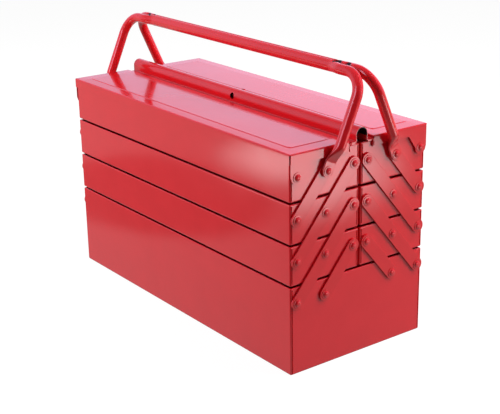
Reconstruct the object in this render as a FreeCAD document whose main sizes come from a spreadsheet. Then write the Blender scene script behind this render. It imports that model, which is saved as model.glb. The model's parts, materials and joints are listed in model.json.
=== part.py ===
import FreeCAD, Part
import math
import os
import Sketcher

# Cantilever tool box of folded and painted sheet steel: one deep base, three levels of trays on
# riveted arms at both ends, two lids and two tube handles. Millimetres, +X along the box, -Y to
# the front, +Z up, origin at the middle of the base's underside.

VECTOR = FreeCAD.Vector
FRONT, BACK = -1, 1
RIGHT, LEFT = 1, -1

document = FreeCAD.newDocument("CantileverToolBox")
sheet = document.addObject("Spreadsheet::Sheet", "Sizes")

# Driving dimensions
SIZES = [
    # Whole box
    ("lid_length", 460.0),
    ("lid_depth", 200.0),
    ("base_height", 104.5),
    ("level_pitch", 48.0),
    # Trays and base
    ("wall_sheet", 1.0),
    ("tray_gap", 2.2),
    ("top_tray_rise", 3.0),
    ("centre_gap", 2.4),
    ("corner_radius", 1.6),
    ("hem_depth", 6.0),
    ("hem_sheet", 1.0),
    # Pivots and arms
    ("pivot_inner", 10.0),
    ("pivot_margin", 8.5),
    ("pivot_drop", 18.0),
    ("arm_width", 16.0),
    ("arm_sheet", 2.0),
    ("arm_side_gap", 0.3),
    # Rivets and washers
    ("pin_radius", 1.9),
    ("pin_clearance", 0.06),
    ("head_radius", 4.0),
    ("head_rise", 1.5),
    ("tail_radius", 3.8),
    ("tail_rise", 1.2),
    ("washer_radius", 5.75),
    ("washer_sheet", 0.5),
    ("washer_gap", 0.1),
    # Lids
    ("lid_sheet", 1.0),
    ("lid_end_gap", 1.5),
    ("lid_front_gap", 0.5),
    ("lid_rim_gap", 5.0),
    ("lid_flange", 12.0),
    ("lid_edge_radius", 1.5),
    ("ear_radius", 8.0),
    ("ear_root", 28.5),
    ("lid_step_place", 17.5),
    ("lid_step_drop", 3.8),
    ("ledge_gap", 0.95),
    ("lip_drop", 8.0),
    ("lip_slot", 3.0),
    ("panel_side_inset", 14.0),
    ("panel_end_inset", 18.0),
    ("panel_rise", 0.5),
    # Ridge channel and padlock hole
    ("ridge_radius", 8.25),
    ("ridge_sheet", 1.0),
    ("ridge_rise", 12.5),
    ("ridge_foot", 5.75),
    ("lock_radius", 3.9),
    ("lock_lift", 4.5),
    ("lug_width", 14.0),
    ("lug_sheet", 1.0),
    ("lug_margin", 2.4),
    ("lug_foot", 7.0),
    ("lug_corner", 6.3),
    # Handles
    ("tube_radius", 6.0),
    ("tube_wall", 1.2),
    ("bar_rise", 99.0),
    ("bar_gap", 0.4),
    ("bend_radius", 26.0),
    ("grip_radius", 7.35),
    ("grip_blend", 14.0),
    ("neck_length", 2.6),
    ("handle_side_gap", 0.3),
    ("leg_gap", 0.5),
    ("tongue_width", 15.6),
    ("tongue_slit", 0.3),
    ("tongue_rise", 9.0),
    ("tongue_blend", 25.0),
]

# Places worked out from the driving dimensions
PLACES = [
    ("lid_end", "Sizes.lid_length / 2"),
    ("lid_side", "Sizes.lid_depth / 2"),
    ("wall_end", "Places.lid_end - Sizes.lid_sheet - Sizes.lid_end_gap"),
    ("wall_side", "Places.lid_side - Sizes.lid_sheet - Sizes.lid_front_gap"),
    ("wall_centre", "Sizes.centre_gap / 2"),
    ("pivot_outer", "Places.wall_side - Sizes.pivot_margin"),
    ("pivot_step", "(Places.pivot_outer - Sizes.pivot_inner) / 2"),
    ("pivot_middle", "Sizes.pivot_inner + Places.pivot_step"),
    ("pivot_base", "Sizes.base_height - Sizes.pivot_drop"),
    ("pivot_top", "Places.pivot_base + 3 * Sizes.level_pitch"),
    ("rim_top", "Sizes.base_height + 3 * Sizes.level_pitch + Sizes.top_tray_rise"),
    ("lid_under", "Places.rim_top + Sizes.lid_rim_gap"),
    ("lid_top", "Places.lid_under + Sizes.lid_sheet"),
    ("lid_low", "Places.lid_top - Sizes.lid_flange"),
    ("ledge_top", "Places.lid_top - Sizes.lid_step_drop"),
    ("ledge_under", "Places.ledge_top - Sizes.lid_sheet"),
    ("ridge_top", "Places.lid_top + Sizes.ridge_rise"),
    ("ridge_centre", "Places.ridge_top - Sizes.ridge_radius"),
    ("ridge_inner", "Sizes.ridge_radius - Sizes.ridge_sheet"),
    ("back_ledge", "Sizes.ridge_radius + Sizes.ledge_gap"),
    ("lock_height", "Places.lid_top + Sizes.lock_lift"),
    ("lug_top", "Places.lock_height + Sizes.lock_radius + Sizes.lug_margin"),
    ("arm_inner", "Places.wall_end + Sizes.arm_side_gap"),
    ("arm_outer", "Places.arm_inner + Sizes.arm_sheet"),
    ("arm_hole", "Sizes.pin_radius + Sizes.pin_clearance"),
    ("arm_round", "Sizes.arm_width / 2"),
    ("arm_head", "Places.arm_outer + Sizes.washer_gap + Sizes.washer_sheet"),
    ("lid_head", "Places.lid_end + Sizes.washer_gap + Sizes.washer_sheet"),
    ("tongue_sheet", "2 * Sizes.tube_wall + Sizes.tongue_slit"),
    ("tongue_inner", "Places.lid_end + Sizes.handle_side_gap"),
    ("tongue_middle", "Places.tongue_inner + Places.tongue_sheet / 2"),
    ("tongue_outer", "Places.tongue_inner + Places.tongue_sheet"),
    ("handle_head", "Places.tongue_outer + Sizes.washer_gap + Sizes.washer_sheet"),
    ("leg_place", "Places.lid_head + Sizes.head_rise + Sizes.leg_gap + Sizes.tube_radius"),
    ("bar_offset", "Sizes.tube_radius + Sizes.bar_gap / 2"),
    ("bar_height", "Places.pivot_top + Sizes.bar_rise"),
    ("leg_shift", "Places.pivot_middle - Places.bar_offset"),
    ("leg_length", "sqrt(Places.leg_shift * Places.leg_shift + Sizes.bar_rise * Sizes.bar_rise)"),
    ("bend_place", "Places.leg_place - Sizes.bend_radius"),
    ("bend_height", "Places.leg_length - Sizes.bend_radius"),
    ("leg_start", "Sizes.tongue_rise + Sizes.tongue_blend"),
    ("blend_end", "Places.bend_place - Sizes.neck_length"),
    ("grip_end", "Places.blend_end - Sizes.grip_blend"),
    ("grip_face", "Sizes.bar_gap / 2"),
]

for row, (alias, size) in enumerate(SIZES, 1):
    sheet.set(f"A{row}", alias)
    sheet.set(f"B{row}", str(size))
    sheet.setAlias(f"B{row}", alias)
places = document.addObject("App::VarSet", "Places")
for name, expression in PLACES:
    places.addProperty("App::PropertyFloat", name, "Places", "")
    places.setExpression(name, expression)
document.recompute()


# What a sketch, a placement and a node need
TOUCH = 1e-6


def number(expression):
    """The plain number that an expression gives now."""
    result = places.evalExpression(expression)
    return float(getattr(result, "Value", result))


def signed(side, expression):
    """An expression mirrored to the front or the left where the side is minus one."""
    return f"({side} * ({expression}))"


def level_height(level):
    """Height of a level's pivots: level 0 is the base, 3 the top trays."""
    return f"(Places.pivot_base + {level} * Sizes.level_pitch)"


def origin_plane(body, role):
    """One of a body's own origin planes."""
    return next(item for item in body.Origin.OriginFeatures if item.Role == role)


def place(item, x="0", y="0", z="0", turn="rotation(vector(0; 0; 1); 0)"):
    """Bind an object's place and turn."""
    item.setExpression("Placement", f"placement(vector({x}; {y}; {z}); {turn})")


def new_body(label):
    """An empty body whose label names its file."""
    body = document.addObject("PartDesign::Body", label)
    body.Label = label
    return body


def sketch_on(body, name, role, offset=None):
    """A sketch on one of the body's origin planes, moved along the plane's normal."""
    sketch = body.newObject("Sketcher::SketchObject", name)
    sketch.AttachmentSupport = [(origin_plane(body, role), "")]
    sketch.MapMode = "FlatFace"
    if offset:
        sketch.setExpression("AttachmentOffset.Base.z", offset)
    return sketch


def bind(sketch, kind, index, point, expression):
    """Fix one coordinate of a sketch point to an expression."""
    value = number(expression)
    if abs(value) < TOUCH:
        axis = -2 if kind == "DistanceX" else -1
        sketch.addConstraint(Sketcher.Constraint("PointOnObject", index, point, axis))
        return
    key = sketch.addConstraint(Sketcher.Constraint(kind, -1, 1, index, point, value))
    sketch.setExpression(f"Constraints[{key}]", expression)


def outline(sketch, corners, arcs=None):
    """A closed outline through corners given as expressions. An arc replaces the edge that
    leaves its corner: it has a centre and turns left (1) or right (-1)."""
    arcs = arcs or {}
    spots = [VECTOR(number(x), number(y), 0) for x, y in corners]
    first = sketch.GeometryCount
    count = len(corners)
    starts, ends = {}, {}
    for i in range(count):
        here, there = spots[i], spots[(i + 1) % count]
        if i not in arcs:
            sketch.addGeometry(Part.LineSegment(here, there), False)
            starts[i], ends[i] = 1, 2
            continue
        centre_x, centre_y, turn = arcs[i]
        centre = VECTOR(number(centre_x), number(centre_y), 0)
        begin, finish = (here, there) if turn > 0 else (there, here)
        low = math.atan2(begin.y - centre.y, begin.x - centre.x)
        high = math.atan2(finish.y - centre.y, finish.x - centre.x)
        if high <= low:
            high += 2 * math.pi
        circle = Part.Circle(centre, VECTOR(0, 0, 1), here.distanceToPoint(centre))
        sketch.addGeometry(Part.ArcOfCircle(circle, low, high), False)
        starts[i], ends[i] = (1, 2) if turn > 0 else (2, 1)
    for i in range(count):
        j = (i + 1) % count
        joint = Sketcher.Constraint("Coincident", first + i, ends[i], first + j, starts[j])
        sketch.addConstraint(joint)
    for i, (x, y) in enumerate(corners):
        bind(sketch, "DistanceX", first + i, starts[i], x)
        bind(sketch, "DistanceY", first + i, starts[i], y)
    for i, (centre_x, centre_y, turn) in arcs.items():
        chord = spots[(i + 1) % count] - spots[i]
        if abs(chord.x) > abs(chord.y):
            bind(sketch, "DistanceY", first + i, 3, centre_y)
        else:
            bind(sketch, "DistanceX", first + i, 3, centre_x)


def ring(sketch, x, y, radius):
    """A circle whose centre and radius are expressions."""
    circle = Part.Circle(VECTOR(number(x), number(y), 0), VECTOR(0, 0, 1), number(radius))
    index = sketch.addGeometry(circle, False)
    bind(sketch, "DistanceX", index, 3, x)
    bind(sketch, "DistanceY", index, 3, y)
    key = sketch.addConstraint(Sketcher.Constraint("Radius", index, number(radius)))
    sketch.setExpression(f"Constraints[{key}]", radius)


def rectangle(sketch, x_low, x_high, y_low, y_high):
    """A rectangle between four expressions."""
    outline(sketch, [(x_low, y_low), (x_high, y_low), (x_high, y_high), (x_low, y_high)])


def pad(body, name, sketch, length, both=False, back=False):
    """A pad of a sketch, along its normal, against it or both ways."""
    feature = body.newObject("PartDesign::Pad", name)
    feature.Profile = sketch
    feature.setExpression("Length", length)
    feature.Midplane = both
    feature.Reversed = back
    sketch.Visibility = False
    document.recompute()
    return feature


def drill(body, name, sketch):
    """A cut right through the body, both ways from the sketch."""
    feature = body.newObject("PartDesign::Pocket", name)
    feature.Profile = sketch
    feature.Type = "ThroughAll"
    feature.Midplane = True
    document.recompute()
    return feature


def fillet(body, name, base, radius, chosen):
    """A fillet on the base's edges that the test picks."""
    edges = [f"Edge{i}" for i, edge in enumerate(base.Shape.Edges, 1) if chosen(edge)]
    feature = body.newObject("PartDesign::Fillet", name)
    feature.Base = (base, edges)
    feature.setExpression("Radius", radius)
    document.recompute()
    return feature


def close(first, second):
    """Whether two coordinates are the same."""
    return abs(first - second) < TOUCH


# Pans: the base and the six trays. A hem is sunk into the wall that it is folded from.
HEM_SINK_SHARE = 0.8


def pan(label, y_low, y_high, z_low, height, rivet_spots):
    """An open pan of folded sheet with rounded folds, a hemmed rim and holes for its rivets."""
    body = new_body(label)
    floor = sketch_on(body, label + "_floor", "XY_Plane", z_low)
    rectangle(floor, "-Places.wall_end", "Places.wall_end", y_low, y_high)
    block = pad(body, label + "_block", floor, height)
    low, high = number(z_low), number(f"{z_low} + {height}")

    def is_fold(edge):
        box = edge.BoundBox
        return close(box.ZLength, high - low) or close(box.ZMax, low)

    folded = fillet(body, label + "_folds", block, "Sizes.corner_radius", is_fold)
    shell = body.newObject("PartDesign::Thickness", label + "_shell")
    top = [f"Face{i}" for i, face in enumerate(folded.Shape.Faces, 1)
           if close(face.BoundBox.ZMin, high)]
    shell.Base = (folded, top)
    shell.setExpression("Value", "Sizes.wall_sheet")
    shell.Reversed = True
    document.recompute()
    rim = sketch_on(body, label + "_rim", "XY_Plane", f"{z_low} + {height}")
    inside = "Sizes.wall_sheet + Sizes.hem_sheet"
    overlap = f"Sizes.wall_sheet * {HEM_SINK_SHARE}"
    rectangle(rim, f"-Places.wall_end + {overlap}", f"Places.wall_end - {overlap}",
              f"{y_low} + {overlap}", f"{y_high} - {overlap}")
    rectangle(rim, f"-Places.wall_end + {inside}", f"Places.wall_end - ({inside})",
              f"{y_low} + {inside}", f"{y_high} - ({inside})")
    pad(body, label + "_hem", rim, "Sizes.hem_depth", back=True)
    holes = sketch_on(body, label + "_rivet_holes", "YZ_Plane")
    for y, z in rivet_spots:
        ring(holes, y, z, "Sizes.pin_radius")
    drill(body, label + "_drilled", holes)
    return body


PIVOT_ROW = ["Sizes.pivot_inner", "Places.pivot_middle", "Places.pivot_outer"]
BASE_ROW = [signed(side, spot) for side in (FRONT, BACK)
            for spot in ("Places.pivot_middle", "Places.pivot_outer")]
SIDE_NAMES = {FRONT: "front", BACK: "back"}
END_NAMES = {RIGHT: "right", LEFT: "left"}
LEVELS = ["base", "lower", "middle", "top"]

nodes = [pan("base_box", "-Places.wall_side", "Places.wall_side", "0", "Sizes.base_height",
             [(spot, level_height(0)) for spot in BASE_ROW])]
for side, side_name in SIDE_NAMES.items():
    edges = [signed(side, "Places.wall_centre"), signed(side, "Places.wall_side")]
    near, far = sorted(edges, key=number)
    for level, level_name in list(enumerate(LEVELS))[1:]:
        rise = " + Sizes.top_tray_rise" if level_name == "top" else ""
        bottom = f"(Sizes.base_height + {level - 1} * Sizes.level_pitch + Sizes.tray_gap)"
        depth = f"(Sizes.level_pitch - Sizes.tray_gap{rise})"
        spots = [(signed(side, spot), level_height(level)) for spot in PIVOT_ROW]
        nodes.append(pan(f"{side_name}_{level_name}_tray", near, far, bottom, depth, spots))


# Arms: flat bars with round ends, all in one plane at each end
def arm(label, side, end, level, spot, steps):
    """A bar from a pivot on one level to the pivots one step inward and one level up."""
    body = new_body(label)
    run = signed(side, "-Places.pivot_step")
    sketch = sketch_on(body, label + "_outline", "YZ_Plane")
    radius = number("Places.arm_round")
    along = VECTOR(number(run), number("Sizes.level_pitch"), 0)
    across = VECTOR(-along.y, along.x, 0).normalize() * radius
    low, high = VECTOR(0, 0, 0), along * steps
    angle = math.atan2(across.y, across.x)
    axis = VECTOR(0, 0, 1)
    sketch.addGeometry([
        Part.ArcOfCircle(Part.Circle(low, axis, radius), angle, angle + math.pi),
        Part.LineSegment(low - across, high - across),
        Part.ArcOfCircle(Part.Circle(high, axis, radius), angle + math.pi, angle + 2 * math.pi),
        Part.LineSegment(high + across, low + across),
    ], False)
    sketch.addConstraint([
        Sketcher.Constraint("Tangent", 0, 2, 1, 1),
        Sketcher.Constraint("Tangent", 1, 2, 2, 1),
        Sketcher.Constraint("Tangent", 2, 2, 3, 1),
        Sketcher.Constraint("Tangent", 3, 2, 0, 1),
        Sketcher.Constraint("Equal", 0, 2),
        Sketcher.Constraint("Coincident", 0, 3, -1, 1),
    ])
    bind(sketch, "DistanceX", 2, 3, f"{steps} * {run}")
    bind(sketch, "DistanceY", 2, 3, f"{steps} * Sizes.level_pitch")
    key = sketch.addConstraint(Sketcher.Constraint("Radius", 0, radius))
    sketch.setExpression(f"Constraints[{key}]", "Places.arm_round")
    for step in range(steps + 1):
        ring(sketch, f"{step} * {run}", f"{step} * Sizes.level_pitch", "Places.arm_hole")
    pad(body, label + "_bar", sketch, "Sizes.arm_sheet", back=end == LEFT)
    place(body, signed(end, "Places.arm_inner"), signed(side, spot), level_height(level))
    return body


ARMS = {
    "top": ("middle", "Places.pivot_outer", "top"),
    "upper": ("lower", "Places.pivot_outer", "top"),
    "lower": ("base", "Places.pivot_outer", "middle"),
    "bottom": ("base", "Places.pivot_middle", "lower"),
}
for side, side_name in SIDE_NAMES.items():
    for arm_name, (start, spot, finish) in ARMS.items():
        level, steps = LEVELS.index(start), LEVELS.index(finish) - LEVELS.index(start)
        for end, end_name in END_NAMES.items():
            label = f"{side_name}_{arm_name}_arm_{end_name}"
            nodes.append(arm(label, side, end, level, spot, steps))


# Lids: a plate with flanges on three sides, ears at its pivots and a step down to the ridge
def lid(label, side):
    """One lid, folded from sheet."""
    body = new_body(label)
    ledge = "Places.ridge_inner" if side == FRONT else "Places.back_ledge"
    section = sketch_on(body, label + "_section", "YZ_Plane")
    step_back = "Sizes.lid_step_place + Sizes.lid_sheet"
    flange_inside = "Places.lid_side - Sizes.lid_sheet"
    corners = [
        ("Places.lid_side", "Places.lid_low"), ("Places.lid_side", "Places.lid_top"),
        ("Sizes.lid_step_place", "Places.lid_top"), ("Sizes.lid_step_place", "Places.ledge_top"),
        (ledge, "Places.ledge_top"), (ledge, "Places.ledge_under"),
        (step_back, "Places.ledge_under"), (step_back, "Places.lid_under"),
        (flange_inside, "Places.lid_under"), (flange_inside, "Places.lid_low"),
    ]
    outline(section, [(signed(side, y), z) for y, z in corners])
    plate = pad(body, label + "_plate", section, "Sizes.lid_length", both=True)
    ear_inside = "Places.lid_side - Sizes.ear_root"
    ear = [
        ("Places.lid_side", "Places.lid_top"), ("Places.lid_side", "Places.lid_low"),
        ("Places.pivot_outer + Sizes.ear_radius", "Places.pivot_top"),
        ("Places.pivot_outer - Sizes.ear_radius", "Places.pivot_top"),
        (ear_inside, "Places.lid_low"), ("Sizes.lid_step_place", "Places.lid_low"),
        ("Sizes.lid_step_place", "Places.lid_top"),
    ]
    turn = -1 if side == BACK else 1
    ear_arc = {2: (signed(side, "Places.pivot_outer"), "Places.pivot_top", turn)}
    lip_edges = [signed(side, "Places.back_ledge"),
                 signed(side, "Sizes.lid_step_place - Sizes.lip_slot")]
    lip = sorted(lip_edges, key=number) + ["Places.ledge_top - Sizes.lip_drop", "Places.ledge_top"]
    for end, end_name in END_NAMES.items():
        cheek = sketch_on(body, f"{label}_cheek_{end_name}", "YZ_Plane",
                          signed(end, "Places.lid_end"))
        outline(cheek, [(signed(side, y), z) for y, z in ear], ear_arc)
        ring(cheek, signed(side, "Places.pivot_outer"), "Places.pivot_top", "Places.arm_hole")
        pad(body, f"{label}_flange_{end_name}", cheek, "Sizes.lid_sheet", back=end == RIGHT)
        tab = sketch_on(body, f"{label}_tab_{end_name}", "YZ_Plane",
                        signed(end, "Places.lid_end"))
        rectangle(tab, *lip)
        plate = pad(body, f"{label}_lip_{end_name}", tab, "Sizes.lid_sheet", back=end == RIGHT)
    side_face = side * number("Places.lid_side")
    end_face, top = number("Places.lid_end"), number("Places.lid_top")

    def is_fold(edge):
        box = edge.BoundBox
        on_side = close(box.YMin, side_face) and close(box.YMax, side_face)
        on_end = any(close(box.XMin, x) and close(box.XMax, x) for x in (end_face, -end_face))
        return close(box.ZMin, top) and close(box.ZMax, top) and (on_side or on_end)

    plate = fillet(body, label + "_folds", plate, "Sizes.lid_edge_radius", is_fold)
    panel = sketch_on(body, label + "_panel", "XY_Plane", "Places.lid_top")
    panel_end = "(Places.lid_end - Sizes.panel_end_inset)"
    rectangle(panel, f"-{panel_end}", panel_end,
              signed(side, "Sizes.lid_step_place + Sizes.panel_side_inset"),
              signed(side, "Places.lid_side - Sizes.panel_side_inset"))
    pad(body, label + "_raised_panel", panel, "Sizes.panel_rise")
    return body


def ridge():
    """The arched channel along the middle, spot welded by its foot to the front lid's ledge."""
    body = new_body("ridge_channel")
    section = sketch_on(body, "ridge_section", "YZ_Plane")
    foot = "-(Sizes.ridge_radius + Sizes.ridge_foot)"
    foot_top = "Places.ledge_top + Sizes.ridge_sheet"
    corners = [
        (foot, "Places.ledge_top"), (foot, foot_top), ("-Sizes.ridge_radius", foot_top),
        ("-Sizes.ridge_radius", "Places.ridge_centre"),
        ("Sizes.ridge_radius", "Places.ridge_centre"),
        ("Sizes.ridge_radius", "Places.ledge_top"), ("Places.ridge_inner", "Places.ledge_top"),
        ("Places.ridge_inner", "Places.ridge_centre"),
        ("-Places.ridge_inner", "Places.ridge_centre"),
        ("-Places.ridge_inner", "Places.ledge_top"),
    ]
    arcs = {3: ("0", "Places.ridge_centre", -1), 7: ("0", "Places.ridge_centre", 1)}
    outline(section, corners, arcs)
    pad(body, "ridge_length", section, "Sizes.lid_length", both=True)
    hole = sketch_on(body, "ridge_padlock_hole", "XZ_Plane")
    ring(hole, "0", "Places.lock_height", "Sizes.lock_radius")
    drill(body, "ridge_drilled", hole)
    return body


def padlock_lug():
    """An angle of sheet, spot welded by its foot to the back lid's ledge, behind the ridge."""
    body = new_body("padlock_lug")
    section = sketch_on(body, "lug_section", "YZ_Plane")
    back_face = "Places.back_ledge + Sizes.lug_sheet"
    foot_top = "Places.ledge_top + Sizes.lug_sheet"
    foot_end = "Places.back_ledge + Sizes.lug_foot"
    outline(section, [
        ("Places.back_ledge", "Places.ledge_top"), (foot_end, "Places.ledge_top"),
        (foot_end, foot_top), (back_face, foot_top), (back_face, "Places.lug_top"),
        ("Places.back_ledge", "Places.lug_top"),
    ])
    angle = pad(body, "lug_angle", section, "Sizes.lug_width", both=True)
    lug_side, top = number("Sizes.lug_width / 2"), number("Places.lug_top")

    def is_corner(edge):
        box = edge.BoundBox
        return close(box.ZMin, top) and close(box.XLength, 0) and close(abs(box.XMin), lug_side)

    fillet(body, "lug_corners", angle, "Sizes.lug_corner", is_corner)
    hole = sketch_on(body, "lug_padlock_hole", "XZ_Plane")
    ring(hole, "0", "Places.lock_height", "Sizes.lock_radius")
    drill(body, "lug_drilled", hole)
    return body


nodes += [lid("front_lid", FRONT), lid("back_lid", BACK), ridge(), padlock_lug()]


# Handles: a grip pressed half round from tube, with a bent tube welded to each end as its leg
ALONG_X = "rotation(vector(0; 1; 0); 90)"
AGAINST_X = "rotation(vector(0; 1; 0); -90)"
UPRIGHT = "rotation(vector(0; 0; 1); 0)"
CROSSWISE = "rotation(vector(1; 1; 1); 120)"
IN_PLANE = "rotation(vector(1; 0; 0); 90)"
SEAM_SHARE = 0.5


def handle_frame(side):
    """The leaning frame of a handle: its pivots' axis at the origin, its legs along Z."""
    lean = f"{side} * atan(Places.leg_shift / Sizes.bar_rise)"
    spot = signed(side, "Places.pivot_middle")
    return f"placement(vector(0; {spot}; Places.pivot_top); rotation(vector(1; 0; 0); {lean}))"


def set_in(item, frame, x, y, z, turn):
    """Bind an object's place inside a frame."""
    item.setExpression("Placement", f"{frame} * placement(vector({x}; {y}; {z}); {turn})")


def cylinder(name, frame, x, z, turn, radius, length):
    """A round bar that starts at a point of the handle's plane."""
    bar = document.addObject("Part::Cylinder", name)
    bar.setExpression("Radius", radius)
    bar.setExpression("Height", length)
    set_in(bar, frame, x, "0", z, turn)
    return bar


def loose_sketch(name, placement):
    """A sketch that stands in the document by itself."""
    sketch = document.addObject("Sketcher::SketchObject", name)
    sketch.setExpression("Placement", placement)
    return sketch


def loft(name, sections):
    """A solid between two outlines."""
    feature = document.addObject("Part::Loft", name)
    feature.Sections = sections
    feature.Solid = True
    feature.Ruled = False
    return feature


def tongue_sketch(name, frame, end, width, thickness):
    """The flattened end's section, just above the pivot."""
    x = signed(end, "Places.tongue_middle")
    spot = f"placement(vector({x}; 0; Sizes.tongue_rise); {UPRIGHT})"
    sketch = loose_sketch(name, f"{frame} * {spot}")
    half, flat = f"({thickness}) / 2", f"(({width}) - ({thickness})) / 2"
    corners = [(half, f"-{flat}"), (half, flat), (f"-{half}", flat), (f"-{half}", f"-{flat}")]
    arcs = {1: ("0", flat, 1), 3: ("0", f"-{flat}", 1)}
    outline(sketch, corners, arcs)
    return sketch


def tube_sketch(name, frame, end, radius):
    """The round section where the leg starts, in four arcs that match the tongue's edges."""
    x = signed(end, "Places.leg_place")
    spot = f"placement(vector({x}; 0; Places.leg_start); {UPRIGHT})"
    sketch = loose_sketch(name, f"{frame} * {spot}")
    across = f"({radius}) * {SEAM_SHARE}"
    along = f"({radius}) * sqrt(1 - {SEAM_SHARE} * {SEAM_SHARE})"
    corners = [(across, f"-{along}"), (across, along), (f"-{across}", along),
               (f"-{across}", f"-{along}")]
    outline(sketch, corners, {i: ("0", "0", 1) for i in range(4)})
    return sketch


def bar_sketch(name, side, end, radius):
    """The round section where the bar meets the blend to the grip."""
    x = signed(end, "Places.blend_end")
    sketch = loose_sketch(name, f"placement(vector({x}; 0; 0); {CROSSWISE})")
    y = signed(side, "Places.bar_offset")
    corners = [(y, f"Places.bar_height - {radius}"), (y, f"Places.bar_height + {radius}")]
    arcs = {i: (y, "Places.bar_height", -side) for i in range(2)}
    outline(sketch, corners, arcs)
    return sketch


def grip_sketch(name, side, place_x, radius, inset):
    """The half round section of the grip, its flat side towards the other handle."""
    sketch = loose_sketch(name, f"placement(vector({place_x}; 0; 0); {CROSSWISE})")
    flat = signed(side, f"Places.grip_face + {inset}")
    rise = f"sqrt(({radius}) * ({radius}) - ({inset}) * ({inset}))"
    corners = [(flat, f"Places.bar_height + {rise}"), (flat, f"Places.bar_height - {rise}")]
    middle = signed(side, "Places.grip_face")
    outline(sketch, corners, {0: (middle, "Places.bar_height", -side)})
    return sketch


def fused(name, pieces):
    """One solid from pieces that touch."""
    whole = document.addObject("Part::MultiFuse", name)
    whole.Shapes = pieces
    return whole


def cut_out(name, base, tool):
    """The base less the tool."""
    cut = document.addObject("Part::Cut", name)
    cut.Base, cut.Tool = base, tool
    document.recompute()
    return cut


def leg_path(name, frame, end):
    """The line that the round part of a leg follows: up, round the bend and on to the grip."""
    path = loose_sketch(name, f"{frame} * placement(vector(0; 0; 0); {IN_PLANE})")
    leg, bend = signed(end, "Places.leg_place"), signed(end, "Places.bend_place")
    stops = [(leg, "Places.leg_start"), (leg, "Places.bend_height"),
             (bend, "Places.leg_length"), (signed(end, "Places.blend_end"), "Places.leg_length")]
    spots = [VECTOR(number(x), number(y), 0) for x, y in stops]
    centre = VECTOR(number(bend), number("Places.bend_height"), 0)
    circle = Part.Circle(centre, VECTOR(0, 0, 1), number("Sizes.bend_radius"))
    low = 0 if end == RIGHT else math.pi / 2
    path.addGeometry([Part.LineSegment(spots[0], spots[1]),
                      Part.ArcOfCircle(circle, low, low + math.pi / 2),
                      Part.LineSegment(spots[2], spots[3])], False)
    near, far = (1, 2) if end == RIGHT else (2, 1)
    path.addConstraint([Sketcher.Constraint("Coincident", 0, 2, 1, near),
                        Sketcher.Constraint("Coincident", 1, far, 2, 1)])
    for line, point, stop in ((0, 1, 0), (0, 2, 1), (2, 1, 2), (2, 2, 3)):
        bind(path, "DistanceX", line, point, stops[stop][0])
        bind(path, "DistanceY", line, point, stops[stop][1])
    bind(path, "DistanceY", 1, 3, "Places.bend_height")
    return path


def leg_form(name, side, end, radius, width, thickness):
    """A leg's outside, or its hollow where the sizes are the inner ones: a flattened round
    end, a squeeze to the round tube, the tube and its bend towards the grip."""
    frame = handle_frame(side)
    tip_x = signed(end, f"Places.tongue_middle - ({thickness}) / 2")
    tip = cylinder(name + "_tip", frame, tip_x, "0", ALONG_X if end == RIGHT else AGAINST_X,
                   f"({width}) / 2", thickness)
    flat = document.addObject("Part::Box", name + "_flat")
    flat.setExpression("Length", thickness)
    flat.setExpression("Width", width)
    flat.setExpression("Height", "Sizes.tongue_rise")
    corner = f"{signed(end, 'Places.tongue_middle')} - ({thickness}) / 2"
    set_in(flat, frame, corner, f"-({width}) / 2", "0", UPRIGHT)
    round_section = tube_sketch(name + "_tube", frame, end, radius)
    squeeze = loft(name + "_squeeze", [
        tongue_sketch(name + "_tongue", frame, end, width, thickness), round_section])
    bar = document.addObject("Part::Sweep", name + "_bar")
    bar.Sections = [round_section]
    bar.Spine = leg_path(name + "_path", frame, end)
    bar.Solid = True
    return fused(name, [tip, flat, squeeze, bar])


def handle_leg(label, side, end):
    """A handle's leg, hollow from end to end, with a rivet hole in its flattened end."""
    outside = leg_form(label + "_outside", side, end, "Sizes.tube_radius", "Sizes.tongue_width",
                       "Places.tongue_sheet")
    hollow = leg_form(label + "_hollow", side, end, "Sizes.tube_radius - Sizes.tube_wall",
                      "Sizes.tongue_width - 2 * Sizes.tube_wall", "Sizes.tongue_slit")
    pin = document.addObject("Part::Cylinder", label + "_pin_hole")
    pin.setExpression("Radius", "Places.arm_hole")
    pin.setExpression("Height", "2 * Places.leg_place")
    place(pin, "-Places.leg_place", signed(side, "Places.pivot_middle"), "Places.pivot_top", ALONG_X)
    return cut_out(label, cut_out(label + "_tube", outside, hollow), pin)


def grip_form(name, side, radius, grip_radius, inset):
    """A grip's outside, or its hollow: half round, with a blend to a round neck at each end."""
    grip = document.addObject("Part::Extrusion", name + "_grip")
    grip.Base = grip_sketch(name + "_section", side, "-Places.grip_end", grip_radius, inset)
    grip.DirMode = "Custom"
    grip.Dir = VECTOR(1, 0, 0)
    grip.setExpression("LengthFwd", "2 * Places.grip_end")
    grip.Solid = True
    blends = [
        loft(f"{name}_blend_{end_name}", [
            bar_sketch(f"{name}_round_{end_name}", side, end, radius),
            grip_sketch(f"{name}_press_{end_name}", side, signed(end, "Places.grip_end"),
                        grip_radius, inset)])
        for end, end_name in END_NAMES.items()
    ]
    return fused(name, blends + [grip])


def handle_grip(label, side):
    """A handle's grip, hollow from end to end."""
    outside = grip_form(label + "_outside", side, "Sizes.tube_radius", "Sizes.grip_radius", "0")
    hollow = grip_form(label + "_hollow", side, "Sizes.tube_radius - Sizes.tube_wall",
                       "Sizes.grip_radius - Sizes.tube_wall", "Sizes.tube_wall")
    return cut_out(label, outside, hollow)


for side, side_name in SIDE_NAMES.items():
    nodes.append(handle_grip(f"{side_name}_handle_grip", side))
    nodes += [handle_leg(f"{side_name}_handle_leg_{end_name}", side, end)
              for end, end_name in END_NAMES.items()]


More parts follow.
